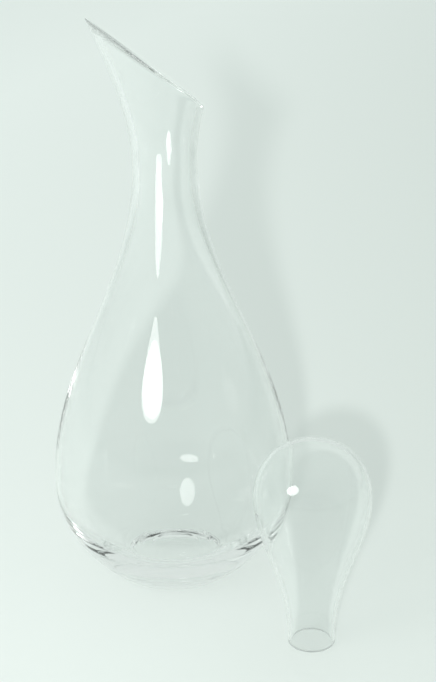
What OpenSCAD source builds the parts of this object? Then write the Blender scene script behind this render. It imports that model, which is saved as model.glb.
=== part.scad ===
// Pear-shaped wine decanter with a slanted pouring lip, and its hollow blown-glass
// stopper standing on its open end beside it. Millimetres, +Z up, Z = 0 on the table.
// The origin is the centre of the decanter's base, and the pouring tip points along -X,
// turned a few degrees towards the front.

/* [Decanter body] */
// Outer diameter at the widest part of the belly
belly_d = 142; // [136:1:150]
// Height of the widest part of the belly
belly_z = 62.5; // [58:0.5:68]
// Outer diameter of the ring that touches the table
base_d = 64; // [58:1:70]
// Glass thickness of the belly and shoulder
body_wall = 2.4; // [2:0.1:3]
// Height of the inner floor above the table
floor_z = 12; // [11:0.5:14]
// Depth of the hollow pushed up into the underside
punt_h = 3; // [2:0.5:5]

/* [Neck and pouring lip] */
// Outer diameter of the neck where it is narrowest
neck_d = 36.6; // [34:0.2:40]
// Height of the narrowest part of the neck
neck_z = 258; // [250:1:266]
// Glass thickness of the neck
neck_wall = 3.6; // [3:0.1:4.2]
// Length of the straight bore that the stopper seats in
bore_l = 14; // [10:1:18]
// Outer diameter of the flare at its full height
lip_d = 84; // [78:1:88]
// Full height of the flare, before the slanted cut
lip_z = 342; // [334:1:350]
// Glass thickness of the lip
lip_wall = 3.4; // [3:0.1:4]
// Height at which the slanted cut crosses the axis
cut_z = 307.2; // [302:0.1:310]
// Slant of the cut from level
cut_tilt = 39.5; // [36:0.5:41]
// Turn of the cut about the axis, which brings the pouring tip forward
cut_turn = 4; // [0:0.5:6]

/* [Stopper] */
// Overall height of the stopper
stopper_h = 124; // [118:1:130]
// Outer diameter of the bulb
bulb_d = 65.6; // [62:0.2:69]
// Height of the widest part of the bulb
bulb_z = 90.5; // [86:0.5:94]
// Outer diameter of the open narrow end
stem_d = 27; // [25:0.2:28.4]
// Glass thickness of the stopper
stopper_wall = 2; // [1.6:0.1:2.4]
// Where the stopper stands beside the decanter
stopper_at = [56, -104];

/* [Hidden] */

$fn = 180;
steps = 14;                    // straight facets along each blended stretch of an outline
rest_w = 2;                    // width of the flat ring that touches the table

belly_r = belly_d / 2;
base_r = base_d / 2;
neck_r = neck_d / 2;
lip_r = lip_d / 2;
bulb_r = bulb_d / 2;
stem_r = stem_d / 2;

heel_slope = 29;               // rise of the underside where it leaves the base ring
heel_pull = 11;                // how far the heel follows that slope
heel_round = 34.5;             // how far below the belly the heel turns upright
belly_pull = 71;               // how far the belly stays upright above its widest part
neck_pull = 74;                // how far the neck stays upright below its narrowest part
flare_pull = 25.5;             // how far the neck stays upright above its narrowest part
flare_lean = 24.9;             // lean of the lip from upright
flare_run = 27.5;              // how far the lip follows that lean
bore_low = neck_z - bore_l * 0.6;
bore_high = bore_low + bore_l;

dome_power = [2.3, 2.15];      // fullness of the bulb's crown, across and upwards
bulb_pull = 25.5;              // how far the bulb stays upright below its widest part
stem_pull = 41.5;              // how far the stem stays upright above its open end
stem_lean = 0.7;               // how far the stem waists inwards above its open end

// A point on the cubic curve from a to d that leaves a towards b and reaches d from c
function curve_point(a, b, c, d, t) =
    pow(1 - t, 3) * a + 3 * t * pow(1 - t, 2) * b + 3 * t * t * (1 - t) * c + pow(t, 3) * d;

// That curve as points, without its last one
function curve(a, b, c, d) = [for (i = [0:steps - 1]) curve_point(a, b, c, d, i / steps)];

// Quarter of a full-shouldered oval, from the crown on the axis down to its widest point
function dome(r, z, h) = [for (i = [0:steps - 1]) let (a = 90 * i / steps)
    [r * pow(sin(a), 2 / dome_power[0]), z + (h - z) * pow(cos(a), 2 / dome_power[1])]];

function reversed(list) = [for (i = [len(list) - 1:-1:0]) list[i]];

// Outside of the decanter, from the base ring up to the full flare
function decanter_outside() = concat(
    curve([base_r, 0],
          [base_r + heel_pull * cos(heel_slope), heel_pull * sin(heel_slope)],
          [belly_r, belly_z - heel_round],
          [belly_r, belly_z]),
    curve([belly_r, belly_z],
          [belly_r, belly_z + belly_pull],
          [neck_r, neck_z - neck_pull],
          [neck_r, neck_z]),
    curve([neck_r, neck_z],
          [neck_r, neck_z + flare_pull],
          [lip_r - flare_run * sin(flare_lean), lip_z - flare_run * cos(flare_lean)],
          [lip_r, lip_z]),
    [[lip_r, lip_z]]);

// Inside of the decanter, from the middle of the floor up to the full flare
function decanter_inside() =
    let (belly = belly_r - body_wall, bore = neck_r - neck_wall, lip = lip_r - lip_wall)
    concat(
    curve([0, floor_z],
          [belly * 0.45, floor_z],
          [belly, belly_z - heel_round * 1.15],
          [belly, belly_z]),
    curve([belly, belly_z],
          [belly, belly_z + belly_pull],
          [bore, neck_z - neck_pull * 0.88],
          [bore, bore_low]),
    [[bore, bore_low]],
    curve([bore, bore_high],
          [bore, bore_high + flare_pull * 0.7],
          [lip - flare_run * sin(flare_lean), lip_z - flare_run * cos(flare_lean)],
          [lip, lip_z]),
    [[lip, lip_z]]);

// Underside, from the base ring in to the middle of the hollow
function underside() = let (r = base_r - rest_w)
    [for (i = [0:steps]) let (a = 90 * i / steps) [r * cos(a), punt_h * sin(a)]];

module decanter() {
    color([0.86, 0.93, 0.9, 0.35])
        difference() {
            rotate_extrude()
                polygon(concat(decanter_outside(), reversed(decanter_inside()),
                               reversed(underside())));
            translate([0, 0, cut_z])
                rotate([0, cut_tilt, cut_turn])
                    translate([-lip_d, -lip_d, 0])
                        cube([2 * lip_d, 2 * lip_d, lip_d]);
        }
}

// Outline of the stopper's outside (inset 0) or inside, from the crown to the open end
function stopper_outline(inset) =
    let (bulb = bulb_r - inset, stem = stem_r - inset)
    concat(
    dome(bulb, bulb_z, stopper_h - inset),
    curve([bulb, bulb_z],
          [bulb, bulb_z - bulb_pull],
          [stem - stem_lean, stem_pull],
          [stem, 0]),
    [[stem, 0]]);

module stopper() {
    color([0.86, 0.93, 0.9, 0.35])
        translate([stopper_at[0], stopper_at[1], 0])
            rotate_extrude()
                polygon(concat(stopper_outline(0), reversed(stopper_outline(stopper_wall))));
}

decanter();
stopper();
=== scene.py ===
"""A clear blown-glass wine decanter with a slanted lip, and its hollow stopper beside it."""

import bpy
import math
import numpy as np
from mathutils import Matrix, Vector


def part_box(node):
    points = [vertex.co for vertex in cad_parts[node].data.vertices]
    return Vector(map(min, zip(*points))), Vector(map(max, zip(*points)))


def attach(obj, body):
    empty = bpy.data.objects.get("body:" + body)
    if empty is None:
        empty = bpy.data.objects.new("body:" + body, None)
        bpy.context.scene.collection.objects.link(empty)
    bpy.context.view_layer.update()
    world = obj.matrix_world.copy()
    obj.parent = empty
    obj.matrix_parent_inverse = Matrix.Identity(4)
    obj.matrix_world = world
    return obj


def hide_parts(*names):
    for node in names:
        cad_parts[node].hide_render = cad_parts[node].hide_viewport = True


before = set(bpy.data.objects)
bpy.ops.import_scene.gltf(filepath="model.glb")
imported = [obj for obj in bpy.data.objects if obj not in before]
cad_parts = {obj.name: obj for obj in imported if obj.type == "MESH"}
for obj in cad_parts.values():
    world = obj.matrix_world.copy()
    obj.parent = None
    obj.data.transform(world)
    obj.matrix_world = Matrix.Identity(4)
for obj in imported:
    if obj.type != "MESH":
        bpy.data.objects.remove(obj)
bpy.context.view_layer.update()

MM = 0.001                      # the sizes below are in millimetres, the scene is in metres

# ---------------------------------------------------------------- sizes, the same as the CAD's
BELLY_R = 71.0
BELLY_Z = 62.5
BASE_R = 32.0
BODY_WALL = 2.4
FLOOR_Z = 12.0
PUNT_H = 3.0
NECK_R = 18.3
NECK_Z = 258.0
NECK_WALL = 3.6
BORE_L = 14.0
LIP_R = 42.0
LIP_Z = 342.0
LIP_WALL = 3.4
CUT_Z = 307.2
CUT_TILT = math.radians(39.5)
CUT_TURN = math.radians(4)      # the pouring tip is turned this far from -X towards -Y
REST_W = 2.0
BORE_BELOW = 0.6                # share of the straight bore below the narrowest part of the neck
INNER_FLOOR_PULL = 0.45         # how far the inner floor stays level, as a share of the inner belly
INNER_HEEL = 1.15               # the inside's pulls at heel, neck and flare, as shares of the outside's
INNER_NECK = 0.88
INNER_FLARE = 0.7

HEEL_SLOPE = math.radians(29)
HEEL_PULL = 11.0
HEEL_ROUND = 34.5
BELLY_PULL = 71.0
NECK_PULL = 74.0
FLARE_PULL = 25.5
FLARE_LEAN = math.radians(24.9)
FLARE_RUN = 27.5

STOPPER_H = 124.0
BULB_R = 32.8
BULB_Z = 90.5
STEM_R = 13.5
STOPPER_WALL = 2.0
DOME_POWER = (2.3, 2.15)
BULB_PULL = 25.5
STEM_PULL = 41.5
STEM_LEAN = 0.7

# ---------------------------------------------------------------- detail that the CAD leaves out
FLOOR_RINGS = ((31.0, 0.4), (22.0, 0.25), (15.0, 0.2))  # radius and height of faint rings on the floor
FLOOR_RING_W = 0.8              # how far each of those rings spreads
ROUND_OVER = 0.022              # where the rim starts to round over, as a share of the flare before the cut
STEM_SOFTENING = 0.45           # radius on the two edges of the stopper's open end
AROUND = 192                    # columns of faces round each piece


# ---------------------------------------------------------------- outlines, as (radius, height)
def bezier(a, b, c, d, t):
    """Points on the cubic curve from a to d that leaves a towards b and reaches d from c."""
    a, b, c, d = (np.array(p, float) for p in (a, b, c, d))
    t = np.asarray(t, float)[..., None]
    return (1 - t) ** 3 * a + 3 * t * (1 - t) ** 2 * b + 3 * t * t * (1 - t) * c + t ** 3 * d


def steps(n, last=True):
    """n even steps from 0 to 1, with both end points or without the last one."""
    return np.linspace(0, 1, n, endpoint=last)


def flare(radius, start_z, pull, lip_radius, t):
    """The flare from the top of the neck out to the lip, on one face of the wall."""
    back = (lip_radius - FLARE_RUN * math.sin(FLARE_LEAN),
            LIP_Z - FLARE_RUN * math.cos(FLARE_LEAN))
    return bezier((radius, start_z), (radius, start_z + pull), back, (lip_radius, LIP_Z), t)


def cut_steps(curve, angles):
    """Where on the flare the slanted cut falls at each angle round the neck, as the curve's t."""
    low, high = np.zeros(len(angles)), np.ones(len(angles))
    for _ in range(40):
        t = (low + high) / 2
        p = curve(t)
        over = p[:, 1] > CUT_Z - math.tan(CUT_TILT) * p[:, 0] * np.cos(angles - CUT_TURN)
        high = np.where(over, t, high)
        low = np.where(over, low, t)
    return low


def decanter_rows():
    """Rows of points of the decanter's skin, from the middle of its underside round to its floor."""
    angles = np.arange(AROUND) * 2 * math.pi / AROUND
    belly, bore, lip = BELLY_R - BODY_WALL, NECK_R - NECK_WALL, LIP_R - LIP_WALL
    bore_low = NECK_Z - BORE_L * BORE_BELOW
    bore_high = bore_low + BORE_L
    ring = BASE_R - REST_W

    def same(points):
        return [np.repeat(p[None], AROUND, 0) for p in points]

    sweep = steps(14) * math.pi / 2
    under = [(ring * math.sin(a), PUNT_H * math.cos(a)) for a in sweep[1:-1]]
    # the inner edge of the resting ring is rounded off
    foot = bezier((ring, 0.9), (ring + 0.2, 0), (ring + 0.6, 0), (ring + 1.2, 0), steps(4)).tolist()
    heel = bezier((BASE_R, 0),
                  (BASE_R + HEEL_PULL * math.cos(HEEL_SLOPE), HEEL_PULL * math.sin(HEEL_SLOPE)),
                  (BELLY_R, BELLY_Z - HEEL_ROUND), (BELLY_R, BELLY_Z), steps(30, last=False))
    shoulder = bezier((BELLY_R, BELLY_Z), (BELLY_R, BELLY_Z + BELLY_PULL),
                      (NECK_R, NECK_Z - NECK_PULL), (NECK_R, NECK_Z), steps(56, last=False))
    rows = same(np.array(under)) + same(np.array(foot)) + same(heel) + same(shoulder)

    def outer(t):
        return flare(NECK_R, NECK_Z, FLARE_PULL, LIP_R, t)

    def inner(t):
        return flare(bore, bore_high, FLARE_PULL * INNER_FLARE, lip, t)

    # the rim rounds over from the outer face to the inner one, starting short of the cut on both
    t_out, t_in = cut_steps(outer, angles), cut_steps(inner, angles)
    t_out_end, t_in_end = t_out - ROUND_OVER, t_in - ROUND_OVER
    rows += [outer(s * t_out_end) for s in steps(30)]
    a, d = outer(t_out_end), inner(t_in_end)
    b, c = outer(t_out + ROUND_OVER * 0.33), inner(t_in + ROUND_OVER * 0.33)
    rows += [bezier(a, b, c, d, np.full(AROUND, s)) for s in steps(12)[1:-1]]
    rows += [inner(s * t_in_end) for s in steps(30)[::-1]]

    inside = bezier((belly, BELLY_Z), (belly, BELLY_Z + BELLY_PULL),
                    (bore, NECK_Z - NECK_PULL * INNER_NECK), (bore, bore_low), steps(56))[::-1]
    bowl = bezier((0, FLOOR_Z), (belly * INNER_FLOOR_PULL, FLOOR_Z),
                  (belly, BELLY_Z - HEEL_ROUND * INNER_HEEL), (belly, BELLY_Z), steps(120))[::-1]
    for ring_at, height in FLOOR_RINGS:         # each a narrow swell, a few tenths of a millimetre high
        bowl[:, 1] += height * np.exp(-((bowl[:, 0] - ring_at) / FLOOR_RING_W) ** 2)
    rows += same(inside) + same(bowl[1:-1])
    return angles, rows, PUNT_H, FLOOR_Z


def stopper_rows():
    """Rows of points of the stopper's skin, from inside its crown round its open end and up outside."""
    angles = np.arange(AROUND) * 2 * math.pi / AROUND

    def outline(inset):
        bulb, stem, top = BULB_R - inset, STEM_R - inset, STOPPER_H - inset
        sweep = steps(30)[1:] * math.pi / 2
        crown = [(bulb * math.sin(a) ** (2 / DOME_POWER[0]),
                  BULB_Z + (top - BULB_Z) * max(math.cos(a), 0) ** (2 / DOME_POWER[1]))
                 for a in sweep]
        taper = bezier((bulb, BULB_Z), (bulb, BULB_Z - BULB_PULL), (stem - STEM_LEAN, STEM_PULL),
                       (stem, 0), steps(50))
        return np.concatenate([np.array(crown), taper[1:-2]])

    outside, inside = outline(0), outline(STOPPER_WALL)
    inner, soft = STEM_R - STOPPER_WALL, STEM_SOFTENING    # the open end is flat between them
    quarter = steps(6) * math.pi / 2
    rim = [(inner + soft - soft * math.cos(a), soft - soft * math.sin(a)) for a in quarter]
    rim += [(STEM_R - soft + soft * math.sin(a), soft - soft * math.cos(a)) for a in quarter]
    points = np.concatenate([inside, np.array(rim), outside[::-1]])
    rows = [np.repeat(p[None], AROUND, 0) for p in points]
    return angles, rows, STOPPER_H - STOPPER_WALL, STOPPER_H


# ---------------------------------------------------------------- meshes
def skin(name, angles, rows, first_z, last_z, centre=(0.0, 0.0)):
    """A closed glass skin: rows of (radius, height) at each angle, closed by a pole at each end."""
    verts = [(centre[0], centre[1], first_z * MM)]
    for row in rows:
        x = centre[0] + row[:, 0] * MM * np.cos(angles)
        y = centre[1] + row[:, 0] * MM * np.sin(angles)
        verts += list(zip(x.tolist(), y.tolist(), (row[:, 1] * MM).tolist()))
    verts.append((centre[0], centre[1], last_z * MM))
    n, last = len(angles), len(verts) - 1
    faces = []
    for i in range(n):
        j = (i + 1) % n
        faces.append((0, 1 + j, 1 + i))
        for k in range(len(rows) - 1):
            low, high = 1 + k * n, 1 + (k + 1) * n
            faces.append((low + i, low + j, high + j, high + i))
        top = 1 + (len(rows) - 1) * n
        faces.append((last, top + i, top + j))
    mesh = bpy.data.meshes.new(name)
    mesh.from_pydata(verts, [], faces)
    mesh.validate()
    mesh.polygons.foreach_set("use_smooth", [True] * len(mesh.polygons))
    obj = bpy.data.objects.new(name, mesh)
    bpy.context.scene.collection.objects.link(obj)
    return obj


# ---------------------------------------------------------------- materials
CLEAR = (0.992, 0.999, 0.996, 1)
ROOM_KEPT = 0.985               # share of the room's light that each skin lets through to the table
LAMP_LOST = 0.15                # share of a lamp's light that each skin stops besides, which makes the shadow


def set_inputs(node, **values):
    """Set a node's named inputs, with underscores for the spaces in their names."""
    for key, value in values.items():
        node.inputs[key.replace("_", " ")].default_value = value


def math_node(nt, operation, *inputs):
    """A maths node fed by sockets or constants; returns its output."""
    node = nt.nodes.new("ShaderNodeMath")
    node.operation = operation
    for socket, value in zip(node.inputs, inputs):
        if isinstance(value, (int, float)):
            socket.default_value = value
        else:
            nt.links.new(value, socket)
    return node.outputs[0]


def ramp_along(nt, coord, direction, start, end):
    """0 to 1 along a direction through the object, between two distances from its origin, in mm."""
    along = nt.nodes.new("ShaderNodeVectorMath")
    along.operation = "DOT_PRODUCT"
    along.inputs[1].default_value = direction
    ramp = nt.nodes.new("ShaderNodeMapRange")
    set_inputs(ramp, From_Min=start * MM, From_Max=end * MM)
    nt.links.new(coord.outputs["Object"], along.inputs[0])
    nt.links.new(along.outputs["Value"], ramp.inputs["Value"])
    return ramp.outputs["Result"]


def let_light_down(nt, shader):
    """Take lamp and room light on its way to the table straight through, so the shadow stays pale."""
    path = nt.nodes.new("ShaderNodeLightPath")
    to_table = math_node(nt, "MAXIMUM", path.outputs["Is Shadow Ray"], path.outputs["Is Diffuse Ray"])
    straight = nt.nodes.new("ShaderNodeBsdfTransparent")
    kept = math_node(nt, "MULTIPLY_ADD", path.outputs["Is Shadow Ray"], -LAMP_LOST, ROOM_KEPT)
    nt.links.new(kept, straight.inputs["Color"])
    mix = nt.nodes.new("ShaderNodeMixShader")
    nt.links.new(to_table, mix.inputs[0])
    nt.links.new(shader.outputs[0], mix.inputs[1])
    nt.links.new(straight.outputs[0], mix.inputs[2])
    nt.links.new(mix.outputs[0], nt.nodes["Material Output"].inputs["Surface"])


def glass(name, ripple, painted_shade_where, painted_shade_grey):
    """Clear glass with the faint slow waviness of a blown skin, and a grey tint of painted shade where all
    the ramps are high.
    """
    mat = bpy.data.materials.new(name)
    mat.use_nodes = True
    nt = mat.node_tree
    shader = nt.nodes["Principled BSDF"]
    set_inputs(shader, Roughness=0.0, IOR=1.5, Transmission_Weight=1.0)
    noise = nt.nodes.new("ShaderNodeTexNoise")
    set_inputs(noise, Scale=14.0, Detail=1.0, Roughness=0.4)
    coord = nt.nodes.new("ShaderNodeTexCoord")
    bump = nt.nodes.new("ShaderNodeBump")
    set_inputs(bump, Strength=1.0, Distance=ripple)
    nt.links.new(coord.outputs["Object"], noise.inputs["Vector"])
    nt.links.new(noise.outputs["Fac"], bump.inputs["Height"])
    nt.links.new(bump.outputs["Normal"], shader.inputs["Normal"])

    painted_shade_amount = ramp_along(nt, coord, *painted_shade_where[0])
    for ramp in painted_shade_where[1:]:
        painted_shade_amount = math_node(nt, "MULTIPLY", painted_shade_amount, ramp_along(nt, coord, *ramp))
    # the grey mixed into the glass colour is painted shade on the edges
    painted_shade_tint = nt.nodes.new("ShaderNodeMix")
    painted_shade_tint.data_type = "RGBA"
    painted_shade_tint.inputs[6].default_value = CLEAR
    painted_shade_tint.inputs[7].default_value = painted_shade_grey
    nt.links.new(painted_shade_amount, painted_shade_tint.inputs[0])
    nt.links.new(painted_shade_tint.outputs[2], shader.inputs["Base Color"])
    let_light_down(nt, shader)
    return mat


def table_top():
    """A pale mint satin surface with a very faint mottle, and painted light that makes it paler to the back
    left.
    """
    mat = bpy.data.materials.new("table_top")
    mat.use_nodes = True
    nt = mat.node_tree
    shader = nt.nodes["Principled BSDF"]
    set_inputs(shader, Roughness=0.55, Specular_IOR_Level=0.25)
    coord = nt.nodes.new("ShaderNodeTexCoord")
    painted_light_lean = nt.nodes.new("ShaderNodeVectorMath")  # painted light: the colour grows paler to the back left
    painted_light_lean.operation = "DOT_PRODUCT"
    painted_light_lean.inputs[1].default_value = (-0.31, 0.25, 0)
    noise = nt.nodes.new("ShaderNodeTexNoise")
    set_inputs(noise, Scale=2.2, Detail=2.0)
    # the mottle is the table's own tone; the lean added to it is painted light
    mottle_and_painted_light = math_node(nt, "MULTIPLY_ADD", noise.outputs["Fac"], 0.03, painted_light_lean.outputs["Value"])
    ramp = nt.nodes.new("ShaderNodeMapRange")
    set_inputs(ramp, From_Min=-0.1, From_Max=0.3)
    tone = nt.nodes.new("ShaderNodeValToRGB")
    tone.color_ramp.elements[0].position = 0.2
    tone.color_ramp.elements[0].color = (0.705, 0.742, 0.722, 1)
    tone.color_ramp.elements[1].color = (0.9, 0.935, 0.92, 1)
    nt.links.new(coord.outputs["Object"], painted_light_lean.inputs[0])
    nt.links.new(mottle_and_painted_light, ramp.inputs["Value"])
    nt.links.new(ramp.outputs["Result"], tone.inputs["Fac"])
    nt.links.new(tone.outputs["Color"], shader.inputs["Base Color"])
    return mat


# ---------------------------------------------------------------- the two pieces
decanter = skin("blown_decanter", *decanter_rows())
low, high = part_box("stopper")
stopper_centre = ((low.x + high.x) / 2, (low.y + high.y) / 2)
stopper = skin("blown_stopper", *stopper_rows(), centre=stopper_centre)

# two edges get painted shade, a little grey in the glass colour: the upper half of the slanted lip, and the
# stopper's open end
square_to_cut = (math.sin(CUT_TILT) * math.cos(CUT_TURN),
                 math.sin(CUT_TILT) * math.sin(CUT_TURN),
                 math.cos(CUT_TILT))
cut_level = CUT_Z * math.cos(CUT_TILT)
# each ramp is a direction and the distances along it, in millimetres, where the painted shade starts and is
# full
lip_painted_shade = [(square_to_cut, cut_level - 2.2, cut_level - 0.6), ((0, 0, 1), 308, 322)]
stem_painted_shade = [((0, 0, -1), -0.9, -0.3)]
decanter.data.materials.append(glass("decanter_glass", 0.00006, lip_painted_shade, (0.5, 0.51, 0.51, 1)))
stopper.data.materials.append(glass("stopper_glass", 0.00004, stem_painted_shade, (0.62, 0.63, 0.63, 1)))
for piece, body, slot in ((decanter, "decanter", "decanter_glass"),
                          (stopper, "stopper", "stopper_glass")):
    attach(piece, body)
    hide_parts(body)

# ---------------------------------------------------------------- the table, the lamps and the room
FLOOR_SIZE = 60.0
mesh = bpy.data.meshes.new("table")
h = FLOOR_SIZE / 2
mesh.from_pydata([(-h, -h, 0), (h, -h, 0), (h, h, 0), (-h, h, 0)], [], [(0, 1, 2, 3)])
table = bpy.data.objects.new("table", mesh)
table.data.materials.append(table_top())
bpy.context.scene.collection.objects.link(table)


def soft_light(name, heading, distance, bottom, top, width, radiance,
               aside=0.0, mirrored=True, even=False):
    """An upright oval light at a heading from the decanter (0 is +Y, 90 is +X), facing it.

    One that isn't mirrored lights the table but shows in no glass. An even one is as bright far
    from the lamp as near it.
    """
    light = bpy.data.lights.new(name, "AREA")
    light.shape = "ELLIPSE"
    light.size, light.size_y = width, top - bottom
    light.energy = radiance * math.pi * math.pi / 4 * width * (top - bottom)
    light.color = (1.0, 1.0, 0.99)
    obj = bpy.data.objects.new(name, light)
    a = math.radians(heading)
    centre = Vector((distance * math.sin(a) + aside * math.cos(a),
                     distance * math.cos(a) - aside * math.sin(a),
                     (bottom + top) / 2))
    obj.matrix_world = (Matrix.Translation(centre) @ Matrix.Rotation(math.pi - a, 4, "Z")
                        @ Matrix.Rotation(math.pi / 2, 4, "X"))
    obj.visible_camera = False
    obj.visible_glossy = obj.visible_transmission = mirrored
    if even:
        light.use_nodes = True
        falloff = light.node_tree.nodes.new("ShaderNodeLightFalloff")
        falloff.inputs["Strength"].default_value = 1.0
        strength = light.node_tree.nodes["Emission"].inputs["Strength"]
        light.node_tree.links.new(falloff.outputs["Constant"], strength)
    bpy.context.scene.collection.objects.link(obj)


soft_light("near_light", heading=-145, distance=0.25, bottom=0.168, top=0.262, width=0.105,
           radiance=6.0, aside=-0.01)
soft_light("key_light", heading=-162.5, distance=1.41, bottom=0.635, top=0.695, width=0.06,
           radiance=900.0, mirrored=False, even=True)
soft_light("left_fill", heading=-100, distance=0.8, bottom=0.35, top=0.75, width=0.4,
           radiance=2.5, mirrored=False)


def studio():
    """An even pale room with one darker side, in front of the decanter and above it."""
    world = bpy.data.worlds.new("studio")
    world.use_nodes = True
    nt = world.node_tree
    where = nt.nodes.new("ShaderNodeTexCoord")
    facing = nt.nodes.new("ShaderNodeVectorMath")    # how near a direction is to the darker side
    facing.operation = "DOT_PRODUCT"
    facing.inputs[1].default_value = (-0.18, -0.85, 0.49)
    edge = nt.nodes.new("ShaderNodeMapRange")
    edge.interpolation_type = "SMOOTHSTEP"
    set_inputs(edge, From_Min=0.72, From_Max=0.95)
    walls = nt.nodes.new("ShaderNodeValToRGB")
    walls.color_ramp.elements[0].color = (0.69, 0.755, 0.725, 1)
    walls.color_ramp.elements[1].color = (0.56, 0.62, 0.6, 1)
    nt.links.new(where.outputs["Generated"], facing.inputs[0])
    nt.links.new(facing.outputs["Value"], edge.inputs["Value"])
    nt.links.new(edge.outputs["Result"], walls.inputs["Fac"])
    nt.links.new(walls.outputs["Color"], nt.nodes["Background"].inputs["Color"])
    return world


scene = bpy.context.scene
scene.world = studio()

# ---------------------------------------------------------------- the camera, above and looking down
CAMERA_AT = (-0.1818, -0.8815, 0.5267)
CAMERA_HEADING = math.radians(13.45)
CAMERA_PITCH = math.radians(22.81)
CAMERA_ROLL = math.radians(-0.95)
lens = bpy.data.cameras.new("camera")
lens.lens = 88.2
lens.sensor_width = 36.0
lens.clip_end = 200.0
camera = bpy.data.objects.new("camera", lens)
camera.matrix_world = (Matrix.Translation(CAMERA_AT) @ Matrix.Rotation(-CAMERA_HEADING, 4, "Z")
                       @ Matrix.Rotation(math.pi / 2 - CAMERA_PITCH, 4, "X")
                       @ Matrix.Rotation(CAMERA_ROLL, 4, "Z"))
scene.collection.objects.link(camera)
scene.camera = camera

scene.view_settings.view_transform = "Standard"
BOUNCES = 80                    # light stays trapped this long in the rim and the thick base
scene.cycles.max_bounces = BOUNCES
scene.cycles.transmission_bounces = BOUNCES
scene.cycles.glossy_bounces = BOUNCES
scene.cycles.use_denoising = True
